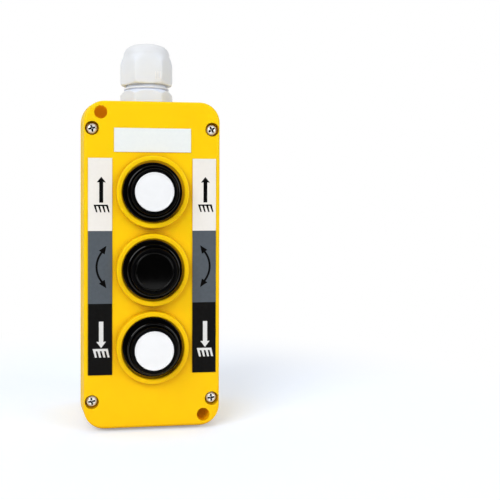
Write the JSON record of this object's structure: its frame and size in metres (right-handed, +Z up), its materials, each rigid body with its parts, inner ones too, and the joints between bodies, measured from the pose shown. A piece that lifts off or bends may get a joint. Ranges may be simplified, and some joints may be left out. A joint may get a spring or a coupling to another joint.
{
  "type": "pushbutton control station",
  "caption": "Upright plastic control station with spring-return push buttons in raised collars, legend strips and a cable gland on top.",
  "frame": {"origin": "middle of the bottom face that the case stands on, halfway through its depth", "axes": "+Z up towards the cable gland, -Y out of the front with the buttons, +X to the right as the front is seen"},
  "size_m": [0.0734, 0.0713, 0.2055],
  "materials": {
    "case_plastic": "satin moulded yellow",
    "button_black": "semi-gloss black",
    "insert_white": "smooth white",
    "insert_black": "smooth black",
    "gland_nylon": "moulded white nylon",
    "seal_rubber": "matt",
    "screw_steel": "bright plated",
    "spring_steel": "drawn wire",
    "contact_brass": "bright",
    "inner_plastic": "matt dark grey",
    "plunger_plastic": "matt natural",
    "label_white": "printed film",
    "label_grey": "printed film",
    "label_black": "printed film"
  },
  "bodies": {
    "case": {"front_cover": "case_plastic", "rear_housing": "case_plastic", "cover_gasket": "seal_rubber", "cover_screws": "screw_steel", "gland_body": "gland_nylon", "gland_dome_nut": "gland_nylon", "gland_seal": "seal_rubber", "gland_washer": "seal_rubber", "gland_locknut": "gland_nylon", "nameplate": "label_white", "legend_raise": "label_white", "legend_turn": "label_grey", "legend_lower": "label_black", "button_body_raise": "button_black", "panel_gasket_raise": "seal_rubber", "fixing_nut_raise": "inner_plastic", "stem_seal_raise": "seal_rubber", "return_spring_raise": "spring_steel", "contact_block_raise": "inner_plastic", "fixed_contacts_raise": "contact_brass", "terminal_screws_raise": "screw_steel", "button_body_turn": "button_black", "panel_gasket_turn": "seal_rubber", "fixing_nut_turn": "inner_plastic", "stem_seal_turn": "seal_rubber", "return_spring_turn": "spring_steel", "contact_block_turn": "inner_plastic", "fixed_contacts_turn": "contact_brass", "terminal_screws_turn": "screw_steel", "button_body_lower": "button_black", "panel_gasket_lower": "seal_rubber", "fixing_nut_lower": "inner_plastic", "stem_seal_lower": "seal_rubber", "return_spring_lower": "spring_steel", "contact_block_lower": "inner_plastic", "fixed_contacts_lower": "contact_brass", "terminal_screws_lower": "screw_steel"},
    "button_raise": {"cap_raise": "button_black", "cap_disc_raise": "insert_white", "plunger_raise": "plunger_plastic", "contact_bridge_raise": "contact_brass"},
    "button_turn": {"cap_turn": "button_black", "cap_disc_turn": "insert_black", "plunger_turn": "plunger_plastic", "contact_bridge_turn": "contact_brass"},
    "button_lower": {"cap_lower": "button_black", "cap_disc_lower": "insert_white", "plunger_lower": "plunger_plastic", "contact_bridge_lower": "contact_brass"}
  },
  "joints": [
    {"name": "press_raise", "type": "slide", "parent": "case", "child": "button_raise", "axis": [0, 1, 0], "range_m": [0, 0.004], "stiffness_N_per_m": 800, "springref_m": -0.005, "deforming": ["return_spring_raise"]},
    {"name": "press_turn", "type": "slide", "parent": "case", "child": "button_turn", "axis": [0, 1, 0], "range_m": [0, 0.004], "stiffness_N_per_m": 800, "springref_m": -0.005, "deforming": ["return_spring_turn"]},
    {"name": "press_lower", "type": "slide", "parent": "case", "child": "button_lower", "axis": [0, 1, 0], "range_m": [0, 0.004], "stiffness_N_per_m": 800, "springref_m": -0.005, "deforming": ["return_spring_lower"]}
  ]
}
